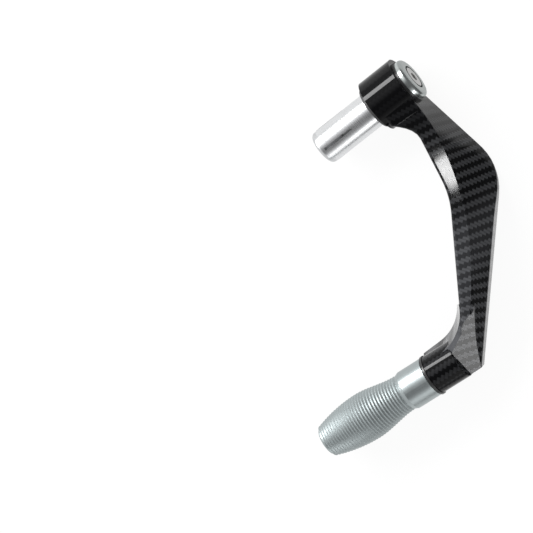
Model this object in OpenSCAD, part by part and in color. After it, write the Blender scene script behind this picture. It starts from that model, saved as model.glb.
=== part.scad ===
// Bar-end brake lever guard: carbon-look arm, expanding bar plug and turned front grip.
// Frame: +X points outboard along the handlebar, +Y to the rear of the machine, +Z up.
// The origin lies on the handlebar axis where the end of the handlebar tube stops,
// which is the inboard face of the rubber ring. The boss starts one ring width outboard.
// All lengths in millimetres.

/* [Bar boss] */
// Diameter of the round boss on the bar end
boss_d = 26.2; // [22:0.1:32]
// Length of the boss along the bar, inboard face to outer plane
boss_len = 17.9; // [14:0.1:24]
// Clearance bore for the bar bolt
boss_bore_d = 6.5; // [6.2:0.1:8]

/* [Arm outline] */
// Lean of the outer face of the upper arm, degrees outboard
lean_deg = 9.5; // [0:0.5:15]
// Forward distance at which the leaning face leaves the boss plane
lean_from = 7.6; // [0:0.1:20]
// Forward distance of the elbow corner on the outside
elbow_fwd = 56.8; // [45:0.1:70]
// Outside radius of the elbow
elbow_r = 27; // [10:0.5:35]
// Direction of the outer wall below the elbow, degrees inboard
run_deg = 43.2; // [35:0.1:50]
// Forward distance where the crease starts to curve
crease_from = 13; // [5:0.1:25]
// Crease curve: twice its radius
crease_bow = 194; // [150:1:220]
// Inner wall of the upper arm, outboard position at its start
inner_x = 8.9; // [6:0.1:12]
// Outboard position of the root fillet at the boss
root_x = 1.6; // [0.5:0.1:4]
// Forward distance where the root fillet ends and the inner wall starts
inner_from = 23.5; // [20:0.5:30]
// Forward reach of the root fillet behind that start
root_fillet = 11.7; // [6:0.1:14]
// Slope of the inner wall in the upper arm, degrees inboard
inner_deg = 11.2; // [5:0.1:20]
// Forward distance of the corner of the inner wall
inner_corner = 52.9; // [45:0.1:65]
// Radius of the inner wall at that corner
inner_r = 40; // [15:1:60]
// Slope of the inner wall in the lower arm, degrees inboard
inner_run_deg = 33.8; // [25:0.1:45]

/* [Arm height] */
// Height of the top face in the upper arm
top_upper = 10.2; // [8:0.1:13]
// Height of the top face at the lower end
top_end = 9.65; // [8:0.05:13]
// Radius of the fillet between the boss and the top face
top_fillet = 15; // [2:0.5:20]
// Depth of the underside from the boss to the elbow
under_start = 12.6; // [10:0.1:14]
// Depth of the underside at the lower end
under_end = 9.65; // [8:0.05:13]
// Forward distance where the underside starts to rise
under_from = 64; // [20:1:90]
// Height of the upper edge of the plain outer wall
wall_top = -2.8; // [-8:0.1:4]
// Forward distance where the plain outer wall begins
wall_from = 47; // [40:0.5:60]
// Forward length over which the plain wall grows to its height
wall_grow = 23; // [10:0.5:35]
// Rounding of the long inner edges
edge_round = 1.6; // [0.4:0.1:3]
// Small rounding of the crease and the outer edges
edge_break = 0.5; // [0.2:0.1:1.5]

/* [Lower end] */
// Diameter of the round seat of the front grip
seat_d = 19.3; // [16:0.1:24]
// Length of the round seat
seat_len = 15; // [8:0.1:20]
// Position of the seat face: inboard of the boss face
seat_in = 58; // [50:0.1:70]
// Position of the seat face: forward of the bar axis
seat_fwd = 114.4; // [100:0.1:130]
// Rearward tilt of the front grip, degrees
grip_tilt = 4.5; // [0:0.1:10]
// Tilt of the flat facet above the seat
facet_tilt = 33; // [10:0.1:60]
// Compass direction of the facet, degrees from outboard
facet_turn = -75; // [-110:0.5:-40]
// Forward distance of the tip of the facet on the crease
facet_fwd = 101.5; // [90:0.1:110]
// Radius of the finger scoop behind the seat, at the underside
scoop_r = 20.4; // [10:0.1:30]
// Draft of the scoop, degrees
scoop_draft = 14.5; // [0:0.5:40]
// Scoop centre, inboard of the boss face
scoop_in = 47.6; // [30:0.1:60]
// Scoop centre, forward of the bar axis
scoop_fwd = 83.6; // [70:0.1:95]
// Reach of the web to the rear of the seat axis
web_reach = 16.4; // [12:0.1:20]
// Distance from the seat face to the root of the web inside the arm
web_root = 34; // [25:0.5:40]
// Depth of the seat's rear side that the arm body leaves free at its end
seat_shelf = 2.6; // [1:0.1:4]
// Height of the web between arm and seat
web_top = 6.2; // [3:0.1:9]
// Depth of the web below the grip axis
web_under = 8.6; // [5:0.1:9.5]
// Rise of the web towards the arm, degrees
web_rise = 6.8; // [0:0.1:15]

/* [Bar plug] */
// Outside diameter of the plug sleeve, for 7/8 inch tube
sleeve_d = 17; // [13:0.1:19]
// Length of the sleeve
sleeve_len = 30; // [24:0.5:45]
// Bore of the sleeve
sleeve_bore_d = 6.6; // [6.2:0.1:9]
// Number of slots
slot_count = 4; // [3:1:6]
// Width of each slot
slot_w = 1.2; // [0.6:0.1:2]
// Length of each slot
slot_len = 16; // [8:0.5:24]
// Angle by which the first slot is turned from the top towards the front
slot_turn = 6.5; // [0:0.5:45]
// Largest diameter of the cone of the expander nut
cone_d = 13.4; // [10:0.1:15]
// Smallest diameter of the cone
cone_tip_d = 9; // [7.5:0.1:11]
// Length of the cone
cone_len = 9; // [5:0.5:14]
// Nose of the expander nut: diameter
nose_d = 16.6; // [12:0.1:17]
// Nose of the expander nut: length
nose_len = 3.2; // [2:0.1:6]
// Gap between the cone and the sleeve
cone_gap = 0.15; // [0.05:0.05:0.4]
// Rubber ring at the root of the sleeve: outside diameter
ring_d = 21.4; // [18:0.1:24]
// Rubber ring: width
ring_w = 2; // [1:0.1:4]
// Gap between the ring and the full width of the sleeve
ring_gap = 0.1; // [0.05:0.05:0.5]
// Relief of the sleeve under the ring, in its diameter
neck_relief = 0.4; // [0.2:0.1:2]

/* [Cap and bolt] */
// Diameter of the silver cap
cap_d = 20.6; // [18:0.1:25]
// Thickness of the cap
cap_t = 3.2; // [2:0.1:6]
// Rounding of the cap edge
cap_round = 2; // [0.5:0.1:3]
// Ring recess around the bolt head, diameter
cap_recess_d = 12.2; // [10:0.1:15]
// Depth of that recess
cap_recess = 2; // [1:0.1:3]
// Black washer under the cap: diameter
washer_d = 21.6; // [18:0.1:26]
// Black washer under the cap: thickness
washer_t = 1.2; // [0.6:0.1:2.5]
// Bolt thread diameter
bolt_d = 6; // [5:0.5:8]
// Bolt head diameter
bolt_head_d = 10.4; // [9:0.1:13]
// Bolt head height
bolt_head_h = 2; // [1.5:0.1:4]
// Hexagon of the bolt head, across flats
bolt_hex = 4; // [3:0.5:6]

/* [Front grip] */
// Length of the grip
grip_len = 61; // [45:0.5:80]
// Diameter of the plain collar
collar_d = 19.5; // [16:0.1:24]
// Length of the plain collar
collar_len = 14.6; // [8:0.1:22]
// Diameter at the neck
neck_d = 18.2; // [14:0.1:22]
// Largest diameter of the barrel
barrel_d = 23.5; // [18:0.1:28]
// Position of the largest diameter
barrel_at = 37; // [25:0.5:50]
// Diameter at the free end
tip_d = 15.4; // [10:0.1:20]
// Number of turned ridges
ridge_count = 30; // [10:1:36]
// Depth of the grooves between the ridges
ridge_depth = 0.38; // [0.1:0.02:0.8]
// Recess for the screw head, diameter
grip_cbore_d = 11; // [10:0.1:13]
// Recess for the screw head, depth
grip_cbore = 8; // [6.5:0.5:14]
// Ring between arm and grip: diameter
collar_ring_d = 20.4; // [18:0.1:24]
// Ring between arm and grip: thickness
collar_ring_t = 1; // [0.5:0.1:2]
// Length of the grip screw that reaches into the round seat
screw_bite = 11; // [6:0.5:13.5]
// Diameter of the grip screw head
screw_head_d = 10; // [9:0.1:12]
// Height of the grip screw head
screw_head_h = 6; // [4:0.1:8]
// Hexagon of the grip screw, across flats
screw_hex = 5; // [3:0.5:6]

/* [Fit] */
// Running clearance on the diameter of plain bores
bore_clear = 0.1; // [0.05:0.05:0.4]

/* [Hidden] */

boss_r = boss_d / 2;
seat_r = seat_d / 2;
stations = 46;
arm_last = 127;
// The arm starts this far inside the skin of the boss, so that the two cross cleanly.
sink = 0.2;
// Side of the cutting blocks, longer than the whole part.
cut = 240;

// Plan curves: forward distance in, outboard position out.
run_tan = tan(run_deg);
lean_tan = tan(lean_deg);
elbow_x = boss_len + (elbow_fwd - lean_from) * lean_tan;
elbow_t = elbow_r * tan((lean_deg + run_deg) / 2);
elbow_s = [elbow_fwd - elbow_t * cos(lean_deg), elbow_x - elbow_t * sin(lean_deg)];
elbow_c = [elbow_s[0] + elbow_r * sin(lean_deg), elbow_s[1] - elbow_r * cos(lean_deg)];
elbow_e = elbow_fwd + elbow_t * cos(run_deg);
sink_rise = sink / (elbow_s[0] - lean_from);

function outer_x(f) =
    f < lean_from ? boss_len - sink
    : f < elbow_s[0] ? boss_len - sink + (f - lean_from) * (lean_tan + sink_rise)
    : f < elbow_e ? elbow_c[1] + sqrt(elbow_r * elbow_r - pow(f - elbow_c[0], 2))
    : elbow_x - (f - elbow_fwd) * run_tan;

in_corner_x = inner_x - (inner_corner - inner_from) * tan(inner_deg);
in_t = inner_r * tan((inner_run_deg - inner_deg) / 2);
in_s = [inner_corner - in_t * cos(inner_deg), in_corner_x + in_t * sin(inner_deg)];
in_c = [in_s[0] - inner_r * sin(inner_deg), in_s[1] - inner_r * cos(inner_deg)];
in_e = inner_corner + in_t * cos(inner_run_deg);

function inner_wall_x(f) =
    f < inner_from - root_fillet ? root_x
    : f < inner_from ? root_x + (inner_x - root_x) * (1 - pow((inner_from - f) / root_fillet, 2))
    : f < in_s[0] ? inner_x - (f - inner_from) * tan(inner_deg)
    : f < in_e ? in_c[1] + sqrt(inner_r * inner_r - pow(f - in_c[0], 2))
    : in_corner_x - (f - inner_corner) * tan(inner_run_deg);

function crease_x(f) = boss_len - 0.2 - pow(max(0, f - crease_from), 2) / crease_bow;
function crease_turn(f) = atan(2 * max(0, f - crease_from) / crease_bow);

// Heights along the arm.
function ease(u) = let (c = min(1, max(0, u))) c * c * (3 - 2 * c);
fillet_f = sqrt(pow(boss_r + top_fillet, 2) - pow(top_upper + top_fillet, 2));
function top_z(f) =
    f < fillet_f * boss_r / (boss_r + top_fillet) + 1.2 ? sqrt(boss_r * boss_r - f * f) - sink
    : f < fillet_f ? top_upper + top_fillet - sqrt(pow(top_fillet, 2) - pow(fillet_f - f, 2))
    : top_upper + (top_end - top_upper) * (f - fillet_f) / (arm_last - fillet_f);
function under_z(f) =
    -under_start + (under_start - under_end) * max(0, f - under_from) / (arm_last - under_from);
function wall_z(f) =
    let (low = under_z(f) + 0.7) low + (wall_top - low) * ease((f - wall_from) / wall_grow);

// A section of the arm stands square to the crease.
function to_outer(f, lo, hi, n) =
    n == 0 ? (lo + hi) / 2
    : let (m = (lo + hi) / 2, a = crease_turn(f))
      crease_x(f) + m * cos(a) < outer_x(f + m * sin(a))
          ? to_outer(f, m, hi, n - 1) : to_outer(f, lo, m, n - 1);
function to_inner(f, lo, hi, n) =
    n == 0 ? (lo + hi) / 2
    : let (m = (lo + hi) / 2, a = crease_turn(f))
      crease_x(f) - m * cos(a) > inner_wall_x(f - m * sin(a))
          ? to_inner(f, m, hi, n - 1) : to_inner(f, lo, m, n - 1);

function put(f, d, z) =
    [crease_x(f) + d * cos(crease_turn(f)), -(f + d * sin(crease_turn(f))), z];

function section(f) =
    let (do = max(0.12, to_outer(f, 0, boss_len, 22)),
         di = to_inner(f, 0, boss_len + 1.1, 22),
         zt = top_z(f), zu = under_z(f), zw = wall_z(f),
         r = edge_round, e = edge_break,
         lx = do, lz = zw - zt, ll = sqrt(lx * lx + lz * lz))
    [put(f, -di, zt - r), put(f, -di + 0.29 * r, zt - 0.29 * r), put(f, -di + r, zt),
     put(f, -e, zt), put(f, e * lx / ll, zt + e * lz / ll),
     put(f, do - e * lx / ll, zw - e * lz / ll), put(f, do, zw - e),
     put(f, do, zu + e), put(f, do - e, zu),
     put(f, -di + r, zu), put(f, -di + 0.29 * r, zu + 0.29 * r), put(f, -di, zu + r)];

module arm_loft() {
    first = 0.5;
    rows = [for (i = [0:stations]) section(first + (arm_last - first) * i / stations)];
    n = len(rows[0]);
    pts = [for (row = rows) for (p = row) p];
    skin = [for (i = [0:stations - 1]) for (j = [0:n - 1])
        let (k = (j + 1) % n)
        each [[i * n + j, i * n + k, (i + 1) * n + k], [i * n + j, (i + 1) * n + k, (i + 1) * n + j]]];
    near = [[for (j = [0:n - 1]) n - 1 - j]];
    far = [[for (j = [0:n - 1]) stations * n + j]];
    polyhedron(points = pts, faces = concat(skin, near, far), convexity = 6);
}

// Moves things from the inboard face of the boss to the row origin.
module at_boss() {
    translate([ring_w, 0, 0])
        children();
}

// Places things on the axis of the front grip: local +Z runs inboard from the seat face.
module at_grip() {
    translate([-seat_in, -seat_fwd, 0])
        rotate([0, 0, -grip_tilt])
            rotate([0, -90, 0])
                children();
}

// Finger scoop: a drafted hollow that runs out along the rear side of the seat.
module scoop() {
    hull()
        for (dx = [0, -30])
            translate([dx - scoop_in, -scoop_fwd, -under_end - 6])
                cylinder(r1 = scoop_r - 6 * tan(scoop_draft), r2 = scoop_r + 24 * tan(scoop_draft),
                         h = 30, $fn = 96);
}

// Web between the arm and the rear side of the seat. Its outline runs from the end face
// of the seat to inside the arm, past the place where the scoop is cut.
module seat_web() {
    web_in = sink / 2 - seat_in;
    web_back = web_reach - seat_fwd;
    intersection() {
        translate([0, 0, -web_under])
            linear_extrude(web_under + boss_r)
                polygon([[web_in, web_back], [web_in, web_back - seat_r - 2.35],
                         [seat_len - seat_in - 1, -seat_fwd - 1.6],
                         [seat_len - seat_in - 1, -seat_fwd - seat_r - 1.95],
                         [web_root - seat_in - 13, -seat_fwd - seat_r + 2.05],
                         [web_root - seat_in - 4, -seat_fwd + 4.4],
                         [web_root - seat_in + 4, web_back - 2],
                         [web_root - seat_in, web_back + 3]]);
        translate([8 - seat_in, 4.4 - seat_fwd, web_top])
            rotate([0, -web_rise, 0])
                translate([-cut / 2, -cut / 2, -cut])
                    cube([cut, cut, cut]);
    }
}

module guard_arm() {
    color([0.07, 0.07, 0.08])
    at_boss()
    difference() {
        union() {
            difference() {
                union() {
                    arm_loft();
                    seat_web();
                }
                // end face, flush with the forward side of the seat
                at_grip()
                    translate([-cut / 2, sink - seat_r - cut, -cut / 2])
                        cube([cut, cut, cut]);
                // flat facet
                translate([crease_x(facet_fwd), -facet_fwd, top_z(facet_fwd)])
                    rotate([0, facet_tilt, facet_turn])
                        translate([-cut / 2, -cut / 2, 0])
                            cube([cut, cut, cut]);
                // the arm body ends behind the round seat
                at_grip()
                    translate([-cut / 2, seat_r - seat_shelf - cut, 2 * sink - seat_len])
                        cube([cut, cut, cut]);
                scoop();
            }
            rotate([0, 90, 0])
                cylinder(d = boss_d, h = boss_len, $fn = 96);
            at_grip()
                translate([0, 0, -seat_len])
                    cylinder(d = seat_d, h = seat_len, $fn = 96);
        }
        // bolt bore
        translate([-1, 0, 0])
            rotate([0, 90, 0])
                cylinder(d = boss_bore_d, h = boss_len + 4, $fn = 48);
        // tapped hole of the grip screw
        at_grip()
            translate([0, 0, -seat_len + 1])
                cylinder(d = bolt_d + bore_clear, h = seat_len + 1, $fn = 48);
    }
}

module cap_washer() {
    color([0.05, 0.05, 0.05])
    at_boss()
    translate([boss_len, 0, 0])
        rotate([0, 90, 0])
            difference() {
                cylinder(d = washer_d, h = washer_t, $fn = 72);
                translate([0, 0, -1])
                    cylinder(d = boss_bore_d, h = washer_t + 2, $fn = 48);
            }
}

module bolt_cap() {
    color([0.8, 0.8, 0.82])
    at_boss()
    translate([boss_len + washer_t, 0, 0])
        rotate([0, 90, 0])
            rotate_extrude($fn = 72)
                difference() {
                    union() {
                        translate([bolt_d / 2 + 0.3, 0])
                            square([cap_d / 2 - cap_round - bolt_d / 2 - 0.3, cap_t]);
                        translate([bolt_d / 2 + 0.3, 0])
                            square([cap_d / 2 - bolt_d / 2 - 0.3, cap_t - cap_round]);
                        intersection() {
                            translate([cap_d / 2 - cap_round, cap_t - cap_round])
                                circle(r = cap_round, $fn = 32);
                            translate([cap_d / 4, 0])
                                square([cap_d, cap_t]);
                        }
                    }
                    translate([0, cap_t - cap_recess])
                        square([cap_recess_d / 2, cap_t]);
                }
}

module hex_hole(af, depth) {
    cylinder(d = af / cos(30), h = depth, $fn = 6);
}

module bar_bolt() {
    head_x = boss_len + washer_t + cap_t - cap_recess;
    color([0.72, 0.72, 0.74])
    at_boss()
    difference() {
        union() {
            translate([head_x, 0, 0])
                rotate([0, 90, 0])
                    cylinder(d = bolt_head_d, h = bolt_head_h, $fn = 64);
            translate([-sleeve_len - nose_len + 0.6, 0, 0])
                rotate([0, 90, 0])
                    cylinder(d = bolt_d, h = head_x + bolt_head_h / 8 + sleeve_len + nose_len - 0.6, $fn = 48);
        }
        translate([head_x + bolt_head_h - 1.5, 0, 0])
            rotate([0, 90, 0])
                hex_hole(bolt_hex, 3);
    }
}

module sleeve_ring() {
    ring_h = ring_w - ring_gap;
    ring_round = 0.3 * ring_w;
    color([0.04, 0.04, 0.04])
    at_boss()
    translate([ring_gap - ring_w, 0, 0])
        rotate([0, 90, 0])
            rotate_extrude($fn = 72)
                union() {
                    translate([(sleeve_d + bore_clear) / 2, 0])
                        square([(ring_d - sleeve_d - bore_clear) / 2 - ring_round, ring_h]);
                    translate([(sleeve_d + bore_clear) / 2, ring_round])
                        square([(ring_d - sleeve_d - bore_clear) / 2, ring_h - 2 * ring_round]);
                    translate([ring_d / 2 - ring_round, ring_round])
                        circle(r = ring_round, $fn = 24);
                    translate([ring_d / 2 - ring_round, ring_h - ring_round])
                        circle(r = ring_round, $fn = 24);
                }
}

module bar_sleeve() {
    color([0.85, 0.85, 0.87])
    at_boss()
    difference() {
        union() {
            translate([-sleeve_len, 0, 0])
                rotate([0, 90, 0])
                    cylinder(d = sleeve_d, h = sleeve_len - ring_w, $fn = 72);
            translate([-ring_w - 1, 0, 0])
                rotate([0, 90, 0])
                    cylinder(d = sleeve_d - neck_relief, h = ring_w + 1, $fn = 72);
        }
        translate([-sleeve_len - 1, 0, 0])
            rotate([0, 90, 0])
                cylinder(d = sleeve_bore_d, h = sleeve_len + 2, $fn = 48);
        // cone seat of the expander nut
        translate([-sleeve_len, 0, 0])
            rotate([0, 90, 0])
                cylinder(d1 = cone_d + 2 * cone_gap, d2 = cone_tip_d + 2 * cone_gap,
                         h = cone_len + cone_gap, $fn = 64);
        for (k = [0:slot_count - 1])
            rotate([slot_turn + 360 * k / slot_count, 0, 0])
                translate([-sleeve_len - 1, -slot_w / 2, 0])
                    cube([slot_len + 1, slot_w, sleeve_d]);
    }
}

module expander_nut() {
    color([0.78, 0.78, 0.8])
    at_boss()
    difference() {
        union() {
            translate([-sleeve_len, 0, 0])
                rotate([0, 90, 0])
                    cylinder(d1 = cone_d, d2 = cone_tip_d, h = cone_len, $fn = 64);
            translate([-sleeve_len - nose_len, 0, 0])
                rotate([0, 90, 0])
                    rotate_extrude($fn = 72)
                        union() {
                            translate([0, 1.8])
                                square([nose_d / 2, nose_len - 1.8]);
                            square([nose_d / 2 - 1.8, nose_len]);
                            translate([nose_d / 2 - 1.8, 1.8])
                                circle(r = 1.8, $fn = 32);
                        }
        }
        translate([-sleeve_len - nose_len - 1, 0, 0])
            rotate([0, 90, 0])
                cylinder(d = bolt_d + bore_clear, h = nose_len + cone_len + 2, $fn = 48);
    }
}

module grip_ring() {
    color([0.05, 0.05, 0.05])
    at_boss()
    at_grip()
        difference() {
            cylinder(d = collar_ring_d, h = collar_ring_t, $fn = 72);
            translate([0, 0, -1])
                cylinder(d = boss_bore_d, h = collar_ring_t + 2, $fn = 48);
        }
}

// Radius of the grip body at distance t from its collar end.
ridge_from = collar_len;
ridge_pitch = (grip_len - 1.2 - ridge_from) / ridge_count;
function grip_r(t) =
    t < barrel_at
        ? neck_d / 2 + (barrel_d - neck_d) / 2 * ease((t - ridge_from - 1) / (barrel_at - ridge_from - 1))
        : barrel_d / 2 - (barrel_d - tip_d) / 2 * pow((t - barrel_at) / (grip_len - barrel_at), 2);

module end_grip() {
    ridges = [for (i = [0:ridge_count - 1])
        let (t = ridge_from + 0.9 + i * ridge_pitch)
        each [[grip_r(t) - ridge_depth, t], [grip_r(t + ridge_pitch / 2), t + ridge_pitch / 2]]];
    color([0.66, 0.68, 0.68])
    at_boss()
    at_grip()
        translate([0, 0, collar_ring_t])
            difference() {
                rotate_extrude($fn = 60)
                    polygon(concat(
                        [[0, 0], [collar_d / 2 - 0.5, 0], [collar_d / 2, 0.5],
                         [collar_d / 2, ridge_from - 1.4], [neck_d / 2 + 0.1, ridge_from]],
                        ridges,
                        [[tip_d / 2 - ridge_depth, grip_len - 0.9], [tip_d / 2 - 1.1, grip_len],
                         [0, grip_len]]));
                translate([0, 0, -1])
                    cylinder(d = boss_bore_d, h = grip_len + 2, $fn = 48);
                translate([0, 0, grip_len - grip_cbore])
                    cylinder(d = grip_cbore_d, h = grip_cbore + 1, $fn = 48);
            }
}

module grip_screw() {
    head_z = collar_ring_t + grip_len - grip_cbore;
    screw_len = head_z + screw_bite;
    color([0.15, 0.15, 0.16])
    at_boss()
    at_grip()
        difference() {
            union() {
                translate([0, 0, head_z])
                    cylinder(d = screw_head_d, h = screw_head_h, $fn = 64);
                translate([0, 0, head_z - screw_len])
                    cylinder(d = bolt_d, h = screw_len, $fn = 48);
            }
            translate([0, 0, head_z + screw_head_h / 2])
                hex_hole(screw_hex, screw_head_h);
        }
}

guard_arm();
cap_washer();
bolt_cap();
bar_bolt();
sleeve_ring();
bar_sleeve();
expander_nut();
grip_ring();
end_grip();
grip_screw();
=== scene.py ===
# Looks of a bar-end brake lever guard: a carbon arm between a handlebar plug and a metal grip.
# Frame: metres, +X outboard along the handlebar, +Y to the rear, +Z up, origin on the bar axis.
import bpy
import math
import numpy as np
from mathutils import Matrix, Vector


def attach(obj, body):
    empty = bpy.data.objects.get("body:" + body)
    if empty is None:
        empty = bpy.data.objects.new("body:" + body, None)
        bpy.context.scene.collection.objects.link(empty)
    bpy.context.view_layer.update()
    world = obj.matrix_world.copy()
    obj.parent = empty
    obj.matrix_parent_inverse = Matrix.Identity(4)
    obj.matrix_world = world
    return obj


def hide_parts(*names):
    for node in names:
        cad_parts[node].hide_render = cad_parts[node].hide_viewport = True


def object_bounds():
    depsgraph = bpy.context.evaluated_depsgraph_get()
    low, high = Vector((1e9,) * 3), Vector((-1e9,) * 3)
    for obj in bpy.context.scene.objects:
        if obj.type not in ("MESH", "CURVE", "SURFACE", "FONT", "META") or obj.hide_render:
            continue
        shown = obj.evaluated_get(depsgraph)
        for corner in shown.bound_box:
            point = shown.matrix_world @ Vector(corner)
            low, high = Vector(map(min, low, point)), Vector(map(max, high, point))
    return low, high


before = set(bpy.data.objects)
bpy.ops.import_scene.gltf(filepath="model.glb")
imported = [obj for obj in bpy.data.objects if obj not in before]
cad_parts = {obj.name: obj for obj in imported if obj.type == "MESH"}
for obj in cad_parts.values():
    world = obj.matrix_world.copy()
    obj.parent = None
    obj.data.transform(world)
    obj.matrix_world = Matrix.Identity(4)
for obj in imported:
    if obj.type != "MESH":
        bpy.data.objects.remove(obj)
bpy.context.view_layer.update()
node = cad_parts


# Carbon arm: one moulding of woven carbon under clear lacquer, a twill of flat dark tows.
# It runs from the round boss on the handlebar end forward to the round seat of the grip,
# and is polished all over, so that its broken edges catch the light as thin lines.

boss_radius = 0.0131
seat_radius = 0.00965
seat_at = np.array([-0.056, -0.1144, 0.0])
grip_turn = math.radians(4.5)
grip_way = np.array([-math.cos(grip_turn), math.sin(grip_turn), 0.0])


class Wire:
    """A socket in a material's node tree. Arithmetic on it adds Math nodes to that tree."""

    def __init__(self, tree, socket):
        self.tree, self.socket = tree, socket

    def node(self, kind, settings=None, out=0, **inputs):
        """Adds a node of this kind: its settings are set first, then its sockets are
        given values or links. Sockets are named, or numbered as s0, s1 and so on."""
        made = self.tree.nodes.new(kind)
        for key, value in (settings or {}).items():
            if key == "stops":
                band = made.color_ramp.elements
                while len(band) < len(value):
                    band.new(0.5)
                for stop, (place, colour) in zip(band, value):
                    stop.position, stop.color = place, colour
            else:
                setattr(made, key, value)
        for name, value in inputs.items():
            numbered = name[0] == "s" and name[1:].isdigit()
            socket = made.inputs[int(name[1:]) if numbered else name]
            if isinstance(value, Wire):
                self.tree.links.new(value.socket, socket)
            else:
                socket.default_value = value
        return Wire(self.tree, made.outputs[out])

    def math(self, operation, first, second=0.0):
        return self.node("ShaderNodeMath", {"operation": operation}, s0=first, s1=second)

    def vector(self, operation, other=(0.0, 0.0, 0.0), out=0):
        kind = {"operation": operation}
        return self.node("ShaderNodeVectorMath", kind, out=out, s0=self, s1=other)

    def __add__(self, other): return self.math("ADD", self, other)
    def __radd__(self, other): return self.math("ADD", other, self)
    def __sub__(self, other): return self.math("SUBTRACT", self, other)
    def __rsub__(self, other): return self.math("SUBTRACT", other, self)
    def __mul__(self, other): return self.math("MULTIPLY", self, other)
    def __rmul__(self, other): return self.math("MULTIPLY", other, self)
    def __truediv__(self, other): return self.math("DIVIDE", self, other)
    def __mod__(self, other): return self.math("FLOORED_MODULO", self, other)
    def __lt__(self, other): return self.math("LESS_THAN", self, other)
    def __gt__(self, other): return self.math("GREATER_THAN", self, other)
    def floor(self): return self.math("FLOOR", self)
    def sine(self): return self.math("SINE", self)

    def along(self, direction):
        """Distance along a direction: the dot product of this vector with it."""
        return self.vector("DOT_PRODUCT", direction, out=1)

    def noise(self, scale, detail=3.0, stretch=(1.0, 1.0, 1.0)):
        """Soft random value from 0 to 1 at this place, with its grain stretched by axis."""
        place = self.vector("MULTIPLY", stretch)
        return self.node("ShaderNodeTexNoise", Vector=place, Scale=scale, Detail=detail)

    def rings(self, pitch):
        """Soft random value from 0 to 1 that this distance alone changes, once in a pitch."""
        return self.node("ShaderNodeTexNoise", {"noise_dimensions": "1D"},
                         W=self, Scale=1.0 / pitch, Detail=2.0)

    def blend(self, dark, light):
        """Colour that goes from dark to light as this value goes from 0 to 1."""
        kind = {"data_type": "RGBA"}
        return self.node("ShaderNodeMix", kind, out=2, s0=self, s6=dark, s7=light)

    def ramp(self, *stops):
        """Colour by this value: each stop is a value from 0 to 1 and the colour there."""
        return self.node("ShaderNodeValToRGB", {"stops": stops}, Fac=self)

    def bump(self, depth, strength):
        """Surface normal for a height of this value times the depth in metres."""
        return self.node("ShaderNodeBump", Height=self, Distance=depth, Strength=strength)


def new_finish(name, source="Object", **constants):
    """A material of this name with its constant sockets set: the material, the starting
    wire in Object or UV coordinates, and a function that links a wire to a socket."""
    finish = bpy.data.materials.new(name)
    finish.use_nodes = True
    tree = finish.node_tree
    shader = tree.nodes["Principled BSDF"]
    for key, value in constants.items():
        shader.inputs[key.replace("_", " ")].default_value = value
    place = Wire(tree, tree.nodes.new("ShaderNodeTexCoord").outputs[source])

    def feed(socket, wire):
        tree.links.new(wire.socket, shader.inputs[socket])

    return finish, place, feed


def mesh_arrays(mesh):
    """The places of a mesh's vertices, and the vertex at each corner of its faces in turn."""
    place = np.empty(len(mesh.vertices) * 3)
    mesh.vertices.foreach_get("co", place)
    index = np.empty(len(mesh.loops), int)
    mesh.loops.foreach_get("vertex_index", index)
    return place.reshape(-1, 3), index


def merged_copy(name, source):
    """A copy of a CAD node's mesh with its loose triangles joined: corners that round to
    one place, in steps of half a micrometre, become one vertex."""
    steps_per_metre = 2e6
    corner, index = mesh_arrays(node[source].data)
    rounded = np.round(corner * steps_per_metre).astype(np.int64)
    _, first, same = np.unique(rounded, axis=0, return_index=True, return_inverse=True)
    face = same.reshape(-1)[index].reshape(-1, 3)
    face = face[(face != np.roll(face, 1, axis=1)).all(axis=1)]
    copy = bpy.data.meshes.new(name)
    copy.from_pydata(corner[first].tolist(), [], face.tolist())
    copy.update()
    piece = bpy.data.objects.new(name, copy)
    bpy.context.scene.collection.objects.link(piece)
    return piece


def cosine(degrees):
    return math.cos(math.radians(degrees))


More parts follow.
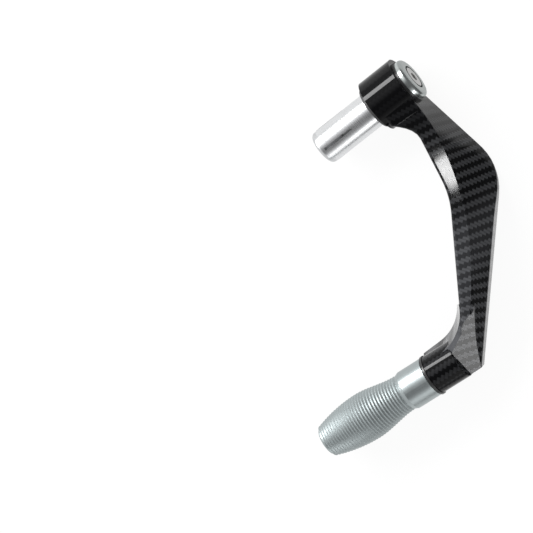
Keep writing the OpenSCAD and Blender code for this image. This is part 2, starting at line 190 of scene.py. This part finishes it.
def even_shade(piece, flat_within, round_within):
    """Gives each corner its own shading normal. A corner of a broad face takes the mean, by
    area, of the faces at its vertex that turn less than flat_within degrees from it. A corner
    of a narrow strip along a broken edge takes those within round_within degrees, so that
    the strip shades as a small round between the two broad faces."""
    broad_width, strip_width, seat_strip_width = 0.0016, 0.0013, 0.0010
    flush_turn, level_turn, spread_steps = 1, 4, 12
    boss_front, seat_rear, square_to = -0.017, -0.100, 0.03
    strip_share = 0.05
    mesh = piece.data
    place, index = mesh_arrays(mesh)
    face = index.reshape(-1, 3)
    corner = place[face]
    side = corner[:, [1, 2, 0]] - corner
    cross = np.cross(side[:, 0], -side[:, 2])
    area = np.linalg.norm(cross, axis=1) / 2
    facing = cross / np.maximum(2 * area, 1e-15)[:, None]
    width = 2 * area / np.linalg.norm(side, axis=2).max(axis=1)
    # Faces that share an edge: a broad face makes those that lie flush with it broad too.
    edge = np.sort(np.stack([face, face[:, [1, 2, 0]]], 2).reshape(-1, 2), axis=1)
    order = np.lexsort((edge[:, 1], edge[:, 0]))
    shared = (edge[order][1:] == edge[order][:-1]).all(axis=1)
    one, two = order[:-1][shared] // 3, order[1:][shared] // 3
    bend = (facing[one] * facing[two]).sum(1)
    flush, level = bend > cosine(flush_turn), bend > cosine(level_turn)
    broad = width > broad_width
    for _ in range(spread_steps):
        broad[one[flush & broad[two]]] = True
        broad[two[flush & broad[one]]] = True
    part_of_broad = broad.copy()
    part_of_broad[one[level & broad[two]]] = True
    part_of_broad[two[level & broad[one]]] = True
    # The boss and its fillet turn only about the bar axis, and the seat about the grip axis.
    centre = corner.mean(1)
    turned = (np.abs(facing[:, 0]) < square_to) & (centre[:, 1] > boss_front)
    turned |= ((np.abs(facing @ grip_way) < square_to) & (centre[:, 1] < seat_rear)
               & (width < seat_strip_width))
    strip = (width < strip_width) & ~part_of_broad & ~turned
    # Every pair of corners, near and far, that meet at one vertex, by their faces.
    order = np.argsort(index, kind="stable")
    _, start, many = np.unique(index[order], return_index=True, return_counts=True)
    repeat = np.repeat(many, many)
    first = np.repeat(np.arange(len(order)), repeat)
    offset = np.arange(repeat.sum()) - np.repeat(np.cumsum(repeat) - repeat, repeat)
    second = np.repeat(np.repeat(start, many), repeat) + offset
    near, far = order[first] // 3, order[second] // 3
    turn = (facing[near] * facing[far]).sum(1)
    limit = np.where(strip[near], cosine(round_within), cosine(flat_within))
    weight = np.where(turn > limit, area[far], 0.0)
    weight *= np.where(strip[far] & ~strip[near], strip_share, 1.0)
    total = np.zeros((len(index), 3))
    np.add.at(total, order[first], facing[far] * weight[:, None])
    total /= np.linalg.norm(total, axis=1)[:, None]
    mesh.polygons.foreach_set("use_smooth", np.ones(len(face), bool))
    mesh.normals_split_custom_set(total.tolist())


carbon_arm = merged_copy("carbon_arm", "guard_arm")
even_shade(carbon_arm, 18, 56)


def rise(value, start, end):
    """0 up to start, then evenly up to 1 at end."""
    return np.clip((value - start) / (end - start), 0, 1)


def weave_map(piece):
    """Lays the cloth: each corner's UV is a place on flat cloth in metres. Across the arm it
    is the distance round the section from the crease on top, and along the arm it is y plus
    a slant that grows forward. The boss and seat take axis length and arc length.
    A second map, tone, holds painted light and shade: how light the light tows are, face by face,
    and a painted sheen that stands for the lacquer's reflection."""
    top_edge = 0.0101
    crease_x, crease_straight, crease_radius = 0.0197, 0.013, 0.097
    first_slant, more_slant = 0.18, 0.19
    outward, downward, sloping, nearly_level = 0.3, -0.5, 0.70, 0.97
    boss_inner_end, radius_slack, square_on = 0.001, 0.0003, 0.97
    facet_way, facet_slack, facet_rear = [0.14, -0.53, 0.84], 0.08, -0.095
    mesh = piece.data
    place, index = mesh_arrays(mesh)
    normal = np.empty(len(mesh.polygons) * 3)
    mesh.polygons.foreach_get("normal", normal)
    normal = np.repeat(normal.reshape(-1, 3), 3, axis=0)
    here = place[index]
    x, y, z = here.T
    normal_x, _, normal_z = normal.T
    centre = here.reshape(-1, 3, 3).mean(1).repeat(3, axis=0)
    # The crease leaves the boss straight and curves inboard. Past it the cloth goes down
    # the outer side, and along the inner edge it goes down the inner side.
    crease = crease_x - np.maximum(0, -y - crease_straight) ** 2 / (2 * crease_radius)
    drop = np.maximum(top_edge - z, 0)
    outer = (normal_x > outward) & (normal_z > downward) & (normal_z < nearly_level)
    inner = (normal_x <= outward) & (normal_z > downward) & (normal_z < sloping)
    across = x - crease
    across = np.where(outer, np.hypot(np.maximum(x - crease, 0), drop), across)
    across = np.where(inner, x - crease - drop, across)
    slant = first_slant + more_slant * rise(-y, 0.02, 0.10) ** 2
    uv = np.stack([crease + across, y + slant * (crease + across)], 1)
    # Round boss: arc length about the bar axis.
    far = np.hypot(centre[:, 1], centre[:, 2])
    radial = (centre[:, 1:] * normal[:, 1:]).sum(1) / np.maximum(far, 1e-6)
    on_boss = (np.abs(far - boss_radius) < radius_slack) & (radial > square_on)
    on_boss &= centre[:, 0] > boss_inner_end
    round_boss = np.stack([x, np.arctan2(y, z) * boss_radius], 1)
    # Round seat: arc length about the grip axis.
    off = here - seat_at
    sideways = np.cross(grip_way, [0, 0, 1.0])
    middle = centre - seat_at
    spoke = middle - np.outer(middle @ grip_way, grip_way)
    reach = np.linalg.norm(spoke, axis=1)
    radial = (spoke * normal).sum(1) / np.maximum(reach, 1e-6)
    on_seat = (np.abs(reach - seat_radius) < radius_slack) & (radial > square_on)
    round_seat = np.stack([off @ grip_way, np.arctan2(off @ sideways, z) * seat_radius], 1)
    uv = np.where(on_boss[:, None], round_boss, uv)
    uv = np.where(on_seat[:, None], round_seat, uv)
    layer = mesh.uv_layers.new(name="cloth")
    layer.data.foreach_set("uv", uv.astype(np.float32).ravel())
    # Each row says where, how light the light tows are there as painted light and shade face by
    # face, and how much painted sheen is added there for the lacquer's reflection.
    facet = (np.abs(normal - facet_way).max(1) < facet_slack) & (y < facet_rear)
    top = (normal_z > sloping) & ~outer
    forward, by_grip = rise(-y, 0.060, 0.070), rise(-y, 0.102, 0.106)
    by_boss, at_boss = rise(y, -0.034, -0.022), rise(y, -0.026, -0.018)
    # Painted shade darkens the boss, the seat and the arm near the boss. Painted light lightens
    # the facet, and painted sheen lightens faces forward and by the grip.
    painted_light_by_face = [
        (on_boss, 0.03, 0.0),
        (on_seat, 0.20, 0.0),
        (facet, 1.1, 0.0),
        (outer, 0.48 + 0.12 * forward - 0.25 * by_boss,
         0.2 * forward * rise(y, -0.094, -0.082)),
        (top, 0.38 + 0.2 * forward - 0.1 * by_boss - 0.2 * at_boss,
         0.25 * forward + 0.75 * by_grip)]
    where, level, painted_sheen = [list(column) for column in zip(*painted_light_by_face)]
    level = np.select(where, level, 0.6 - 0.52 * at_boss)
    painted_sheen = np.select(where, painted_sheen, 0.4 * by_grip * (normal_z > 0.4))
    layer = mesh.uv_layers.new(name="tone")
    layer.data.foreach_set("uv", np.stack([level, painted_sheen], 1).astype(np.float32).ravel())
    mesh.uv_layers["cloth"].active_render = True


weave_map(carbon_arm)

# Tows cross at right angles, at 45 degrees to the cloth's UV axes, and each passes over two
# and under two. A tow is crowned across its width and drawn out of fine hairs.
tow = 0.00166
bare_tow, bright_tow = (0.0012, 0.0012, 0.0015, 1), (0.085, 0.087, 0.093, 1)
twill, cloth, feed = new_finish("lacquered_carbon", "UV", Metallic=0.0, IOR=1.5,
                                Specular_IOR_Level=0.01, Coat_Weight=1.0,
                                Coat_Roughness=0.05, Coat_IOR=1.28)
across = cloth.along((1.0, 0.0, 0.0)) / (tow * math.sqrt(2))
along = cloth.along((0.0, 1.0, 0.0)) / (tow * math.sqrt(2))
wobble = (cloth.noise(260.0, 2.0) - 0.5) * 0.22
warp = across + along + wobble
weft = along - across + wobble
on_top = (warp.floor() + weft.floor()) % 4.0 < 2.0
warp_round = (warp % 1.0 * math.pi).sine()
weft_round = (weft % 1.0 * math.pi).sine()
warp_hair = cloth.noise(2600.0, 2.0, (1.0, 0.12, 1.0))
weft_hair = cloth.noise(2600.0, 2.0, (0.12, 1.0, 1.0))
crown = on_top * warp_round + (1.0 - on_top) * weft_round
hair = on_top * warp_hair + (1.0 - on_top) * weft_hair
# Painted light and shade: the tone map darkens or lightens the light tows face by face, and adds
# a painted sheen for the lacquer's reflection to the base colour.
tone = cloth.node("ShaderNodeUVMap", {"uv_map": "tone"})
weave_and_painted_light = (0.02 + 0.86 * on_top) * (0.55 + 0.45 * crown) * (0.72 + 0.56 * hair)
weave_and_painted_light = weave_and_painted_light * tone.along((1.0, 0.0, 0.0)) + tone.along((0.0, 1.0, 0.0))
feed("Base Color", weave_and_painted_light.blend(bare_tow, bright_tow))
feed("Roughness", 0.46 - 0.12 * on_top + 0.08 * hair)
feed("Normal", crown.bump(0.00012, 0.5))
carbon_arm.data.materials.append(twill)
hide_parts("guard_arm")
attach(carbon_arm, "root")


# Bar plug: a slotted sleeve of polished aluminium that a cone spreads inside the handlebar
# tube. It is turned on a lathe and buffed, with faint rings left across its length.

def turned_metal(name, middle, axis, light, dark, roughness, ring_pitch, ring_depth,
                 dull_from=0.0, dulling=0.0):
    """Turned aluminium: fine rings about an axis through a point, slightly uneven in
    tone, with scuffs in the roughness. From dull_from on along the axis, the roughness
    is greater by dulling. Returns the material."""
    finish, spot, feed = new_finish(name, Metallic=1.0)
    run = spot.vector("SUBTRACT", middle).along(axis)
    line = run.rings(ring_pitch)
    cloud = spot.noise(180.0, 3.0)
    scuff = spot.noise(1400.0, 2.0)
    feed("Base Color", (line * 0.55 + cloud * 0.45).blend(dark, light))
    rough = roughness + dulling * (run > dull_from)
    feed("Roughness", rough + 0.10 * (line - 0.5) + 0.10 * (cloud - 0.5) + 0.05 * (scuff - 0.5))
    feed("Normal", line.bump(ring_depth, 0.6))
    return finish


bar_middle, bar_way = (0.0, 0.0, 0.0), (1.0, 0.0, 0.0)
node["bar_sleeve"].material_slots[0].material = turned_metal(
    "buffed_sleeve", bar_middle, bar_way, light=(0.84, 0.85, 0.86, 1), dark=(0.70, 0.71, 0.72, 1),
    roughness=0.27, ring_pitch=0.00035, ring_depth=0.000004)

# The expander nut is a plain aluminium cone whose nose shows past the sleeve's end.
node["expander_nut"].material_slots[0].material = turned_metal(
    "machined_cone", bar_middle, bar_way, light=(0.74, 0.75, 0.76, 1), dark=(0.56, 0.57, 0.58, 1),
    roughness=0.30, ring_pitch=0.00025, ring_depth=0.000015)


# Rubber ring and washers: a black rubber ring sits at the root of the sleeve and stops
# against the handlebar. Thin black fibre washers lie under the silver cap and between the
# arm and the grip.

def grey(tone, blue=None):
    """A grey colour, whose blue may differ a little."""
    return (tone, tone, tone if blue is None else blue, 1)


def rubber(name, tone, roughness, grain):
    """Moulded black rubber: fine grain, with a greyer bloom in soft patches."""
    finish, spot, feed = new_finish(name, Metallic=0.0, IOR=1.5)
    bloom = spot.noise(220.0, 3.0)
    pore = spot.noise(grain, 2.0)
    cover = bloom * 0.7 + pore * 0.3
    feed("Base Color", cover.blend(grey(tone * 0.6), grey(tone * 1.5, tone * 1.55)))
    feed("Roughness", roughness + 0.16 * (bloom - 0.5) + 0.08 * (pore - 0.5))
    feed("Normal", pore.bump(0.00003, 0.5))
    return finish


node["sleeve_ring"].material_slots[0].material = rubber("moulded_rubber", 0.03, 0.55, 3000.0)
fibre = rubber("black_fibre", 0.02, 0.30, 4500.0)
node["cap_washer"].material_slots[0].material = fibre
node["grip_ring"].material_slots[0].material = fibre


# Cap and bar bolt: the cap is a turned aluminium button, anodised silver, with a round sunk
# middle. The head of the plated steel bolt lies in it and takes a hexagon key.

def faced_metal(name, light, dark, roughness, ring_pitch, ring_depth):
    """Metal faced on a lathe about the bar axis: rings by distance from that axis."""
    finish, spot, feed = new_finish(name, Metallic=1.0)
    from_axis = spot.vector("MULTIPLY", (0.0, 1.0, 1.0)).vector("LENGTH", out=1)
    line = from_axis.rings(ring_pitch)
    cloud = spot.noise(240.0, 3.0)
    feed("Base Color", (line * 0.5 + cloud * 0.5).blend(dark, light))
    feed("Roughness", roughness + 0.12 * (line - 0.5) + 0.10 * (cloud - 0.5))
    feed("Normal", line.bump(ring_depth, 0.5))
    return finish


node["bolt_cap"].material_slots[0].material = faced_metal(
    "silver_cap", light=(0.62, 0.66, 0.65, 1), dark=(0.49, 0.525, 0.52, 1),
    roughness=0.24, ring_pitch=0.0003, ring_depth=0.000008)
node["bar_bolt"].material_slots[0].material = faced_metal(
    "plated_bolt", light=grey(0.80, 0.79), dark=grey(0.64, 0.63),
    roughness=0.30, ring_pitch=0.0004, ring_depth=0.00001)


# Front grip: a barrel of aluminium turned with fine ridges between a smooth collar and a
# smooth tip. It is bead-dulled past the collar and anodised a cool silver, and a plated screw
# holds it to the arm's seat.

grip_middle, grip_axis = tuple(seat_at), tuple(grip_way)
node["end_grip"].material_slots[0].material = turned_metal(
    "anodised_grip", grip_middle, grip_axis, light=(0.45, 0.495, 0.50, 1),
    dark=(0.37, 0.41, 0.415, 1), roughness=0.36, ring_pitch=0.0003, ring_depth=0.000004,
    dull_from=0.0165, dulling=0.16)
node["grip_screw"].material_slots[0].material = turned_metal(
    "plated_screw", grip_middle, grip_axis, light=grey(0.62, 0.61), dark=grey(0.46, 0.45),
    roughness=0.32, ring_pitch=0.0004, ring_depth=0.00001)


# Floor: a plain pale table top under the guard. It goes nearly white where the camera sees
# it, and keeps the guard's soft shadow.

def ray_masks(tree):
    """Two masks: 1 for a surface that the camera sees itself, and 1 for one seen in a gloss."""
    outputs = tree.nodes.new("ShaderNodeLightPath").outputs
    return Wire(tree, outputs["Is Camera Ray"]), Wire(tree, outputs["Is Glossy Ray"])


floor_gap, floor_side, floor_whitening = 0.0001, 3.0, 0.93
floor_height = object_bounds()[0][2] - floor_gap
floor_mesh = bpy.data.meshes.new("floor")
floor_mesh.from_pydata([(floor_side * x, floor_side * y, floor_height)
                        for x, y in ((-1, -1), (1, -1), (1, 1), (-1, 1))],
                       [], [(0, 1, 2, 3)])
floor = bpy.data.objects.new("floor", floor_mesh)
bpy.context.scene.collection.objects.link(floor)
paper, spot, feed = new_finish("pale_paper", Roughness=0.9, Specular_IOR_Level=0.1)
feed("Base Color", spot.noise(40.0, 2.0).blend(grey(0.86), grey(0.88)))
tree = paper.node_tree
camera_ray, glossy_ray = ray_masks(tree)
bright = spot.node("ShaderNodeEmission", Color=grey(1), Strength=1.0)
base = Wire(tree, tree.nodes["Principled BSDF"].outputs[0])
seen = spot.node("ShaderNodeMixShader", Fac=floor_whitening * camera_ray, s1=base, s2=bright)

# In a gloss the floor is pale under the guard and dark farther outboard, past a line beside
# the boss and a slanting one beside the arm. The first value goes from 0 to 1 over the 50 mm
# on either side of those lines, and the second over the 50 mm forward of the bar axis. Beside
# the cap the floor turns grey a little sooner, but never as dark.
beside_boss, beside_arm, arm_side = 0.0235, 0.060, (0.72, -0.69, 0.0)
outboard = spot.along((1.0, 0.0, 0.0)) - beside_boss
outboard = spot.math("MAXIMUM", outboard, spot.along(arm_side) - beside_arm)
outboard = 0.5 + 10.0 * outboard
by_arm = outboard.ramp((0.0, grey(0.92)), (0.59, grey(0.92)), (0.66, grey(0.13)))
by_cap = outboard.ramp((0.0, grey(0.92)), (0.45, grey(0.92)), (0.48, grey(0.62)))
forward = (-20.0 * spot.along((0.0, 1.0, 0.0))).ramp((0.40, grey(0)), (0.60, grey(1)))
mirrored = spot.node("ShaderNodeEmission", Color=forward.blend(by_cap, by_arm), Strength=1.0)
seen = spot.node("ShaderNodeMixShader", Fac=glossy_ray, s1=seen, s2=mirrored)
tree.links.new(seen.socket, tree.nodes["Material Output"].inputs["Surface"])
floor_mesh.materials.append(paper)


# Light: a studio with a broad soft light behind the guard, a weaker one low in front, and a
# small one overhead whose only task is the bright spot at the arm's inner bend.

guard_middle = np.array([-0.045, -0.055, 0.0])


def soft_light(name, way, distance, width, height, power):
    """A rectangular lamp at a distance along a direction from the guard, facing it."""
    lamp = bpy.data.lights.new(name, "AREA")
    lamp.shape, lamp.size, lamp.size_y, lamp.energy = "RECTANGLE", width, height, power
    holder = bpy.data.objects.new(name, lamp)
    way = np.array(way, float) / np.linalg.norm(way)
    holder.location = (guard_middle + way * distance).tolist()
    holder.rotation_euler = Vector((-way).tolist()).to_track_quat("-Z", "Y").to_euler()
    bpy.context.scene.collection.objects.link(holder)
    return holder


soft_light("rear_light", (-0.31, 0.76, 0.57), 1.1, width=1.1, height=0.30, power=18.5)
soft_light("front_light", (-0.04, -0.90, 0.42), 1.1, width=0.3, height=0.24, power=1.85)
spark = soft_light("top_light", (-0.252, -0.012, 0.968), 0.6,
                   width=0.020, height=0.0145, power=0.00006)
spark.location = (-0.1366, -0.0562, 0.5916)      # where the bend mirrors it to the camera
spark.data.spread = math.radians(6)
spark.visible_diffuse = False

# The room is a plain grey fill. A gloss shows it by direction: pale at its sides, darker
# towards the ceiling and dark on the outboard side. The camera sees it white.
room = bpy.data.worlds.new("studio")
room.use_nodes = True
bpy.context.scene.world = room
tree = room.node_tree
way = Wire(tree, tree.nodes.new("ShaderNodeTexCoord").outputs["Generated"])
shade = way.along((0.0, -0.31, 0.951)).ramp(
    (0.0, grey(0.60)), (0.50, grey(0.80)), (0.72, grey(0.80, 0.805)),
    (0.84, grey(0.45, 0.455)), (0.93, grey(0.15, 0.152)))
outboard = way.along((1.0, 0.0, 0.0)).ramp((0.15, grey(0)), (0.50, grey(1)))
shade = outboard.blend(shade, grey(0.18, 0.182))
camera_ray, glossy_ray = ray_masks(tree)
seen = camera_ray.blend(glossy_ray.blend(grey(0.66), shade), grey(1))
tree.links.new(seen.socket, tree.nodes["Background"].inputs["Color"])


# Camera: the photograph looks down on the guard from its outboard side, from far away. The
# guard stands right of the picture's middle, so the view aims at a place beside it.

right = np.array([0.7495, -0.6157, -0.2435])
upward = np.array([0.5855, 0.788, -0.190])
right /= np.linalg.norm(right)
back = np.cross(right, upward)
back /= np.linalg.norm(back)
upward = np.cross(back, right)
aim = np.array([-0.0795, -0.0269, 0.0258])
away, view_width, sensor_width = 1.4, 0.2452, 36.0
lens = bpy.data.cameras.new("camera")
lens.sensor_width = sensor_width
lens.lens = sensor_width * away / view_width
lens.clip_start = 0.01
camera = bpy.data.objects.new("camera", lens)
bpy.context.scene.collection.objects.link(camera)
stand = np.eye(4)
stand[:3] = np.stack([right, upward, back, aim + back * away], 1)
camera.matrix_world = Matrix(stand.tolist())
bpy.context.scene.camera = camera
bpy.context.scene.view_settings.view_transform = "Standard"
